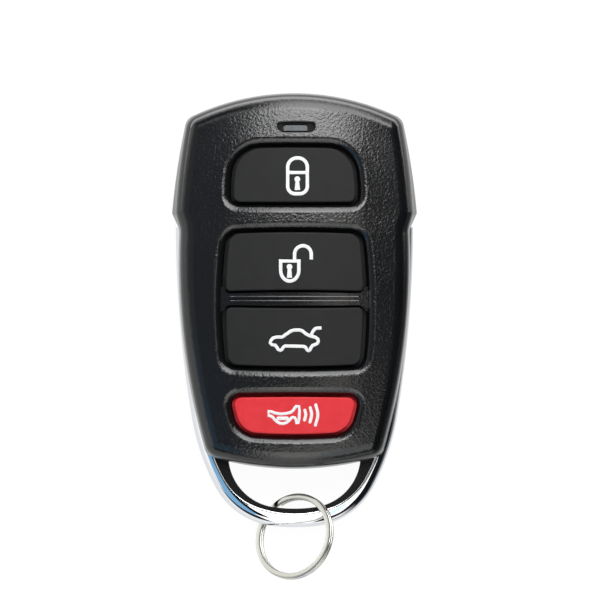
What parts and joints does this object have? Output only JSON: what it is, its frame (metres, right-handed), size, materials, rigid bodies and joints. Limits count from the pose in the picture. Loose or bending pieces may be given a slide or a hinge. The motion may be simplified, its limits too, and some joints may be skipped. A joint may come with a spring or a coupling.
{
  "type": "remote head car key",
  "caption": "Keyless entry remote with rubber lock, unlock, trunk and panic keys, a status lamp, a plated trim that forms a loop, and a split ring.",
  "frame": {"origin": "middle of the flat rear face that the remote lies on", "axes": "+Z comes out of the key face, +Y points along the remote from the loop to the lamp end, +X points to the right as the keys are read"},
  "size_m": [0.0394, 0.0785, 0.0134],
  "materials": {
    "case_plastic": "fine leather grain, near black",
    "key_rubber": "matte charcoal",
    "panic_rubber": "matte red",
    "trim_plating": "mirror bright",
    "lens_plastic": "smoked grey",
    "lamp_body": "clear white",
    "mat_rubber": "plain",
    "board_laminate": "green solder mask",
    "copper_track": "bare copper colour",
    "spring_steel": "plain",
    "tinned_leg": "tinned",
    "screw_steel": "dark plated",
    "ring_steel": "polished",
    "cell_steel": "plain",
    "cell_fill": "plain",
    "gasket_plastic": "plain",
    "switch_plastic": "plain",
    "plunger_plastic": "plain",
    "chip_plastic": "plain",
    "chip_ceramic": "plain",
    "ferrite": "plain"
  },
  "bodies": {
    "case": {"front_cover": "case_plastic", "rear_cover": "case_plastic", "chrome_trim": "trim_plating", "keypad_mat": "mat_rubber", "led_lens": "lens_plastic", "led_lamp": "lamp_body", "circuit_board": "board_laminate", "switch_terminals": "tinned_leg", "cell_can": "cell_steel", "cell_cap": "cell_fill", "cell_gasket": "gasket_plastic", "negative_contact": "spring_steel", "positive_contact": "spring_steel", "controller_chip": "chip_plastic", "controller_legs": "tinned_leg", "crystal_can": "cell_steel", "inductor": "ferrite", "chip_capacitors": "chip_ceramic", "chip_resistors": "chip_ceramic", "antenna_track": "copper_track", "case_screw": "screw_steel", "lock_switch": "switch_plastic", "lock_dome": "spring_steel", "unlock_switch": "switch_plastic", "unlock_dome": "spring_steel", "trunk_switch": "switch_plastic", "trunk_dome": "spring_steel", "panic_switch": "switch_plastic", "panic_dome": "spring_steel"},
    "lock_button": {"lock_key": "key_rubber", "lock_plunger": "plunger_plastic"},
    "unlock_button": {"unlock_key": "key_rubber", "unlock_plunger": "plunger_plastic"},
    "trunk_button": {"trunk_key": "key_rubber", "trunk_plunger": "plunger_plastic"},
    "panic_button": {"panic_key": "panic_rubber", "panic_plunger": "plunger_plastic"},
    "key_ring": {"split_ring": "ring_steel"}
  },
  "joints": [
    {"name": "lock_press", "type": "slide", "parent": "case", "child": "lock_button", "axis": [0, 0, -1], "range_m": [0, 0.0003], "stiffness_N_per_m": 4000, "springref_m": -0.0001, "deforming": ["lock_dome"]},
    {"name": "unlock_press", "type": "slide", "parent": "case", "child": "unlock_button", "axis": [0, 0, -1], "range_m": [0, 0.0003], "stiffness_N_per_m": 4000, "springref_m": -0.0001, "deforming": ["unlock_dome"]},
    {"name": "trunk_press", "type": "slide", "parent": "case", "child": "trunk_button", "axis": [0, 0, -1], "range_m": [0, 0.0003], "stiffness_N_per_m": 4000, "springref_m": -0.0001, "deforming": ["trunk_dome"]},
    {"name": "panic_press", "type": "slide", "parent": "case", "child": "panic_button", "axis": [0, 0, -1], "range_m": [0, 0.0003], "stiffness_N_per_m": 4000, "springref_m": -0.0001, "deforming": ["panic_dome"]},
    {"name": "ring_swing", "type": "hinge", "parent": "case", "child": "key_ring", "pos_m": [0, -0.03785, 0.0041], "axis": [-1, 0, 0], "range_deg": [-25, 105]}
  ]
}
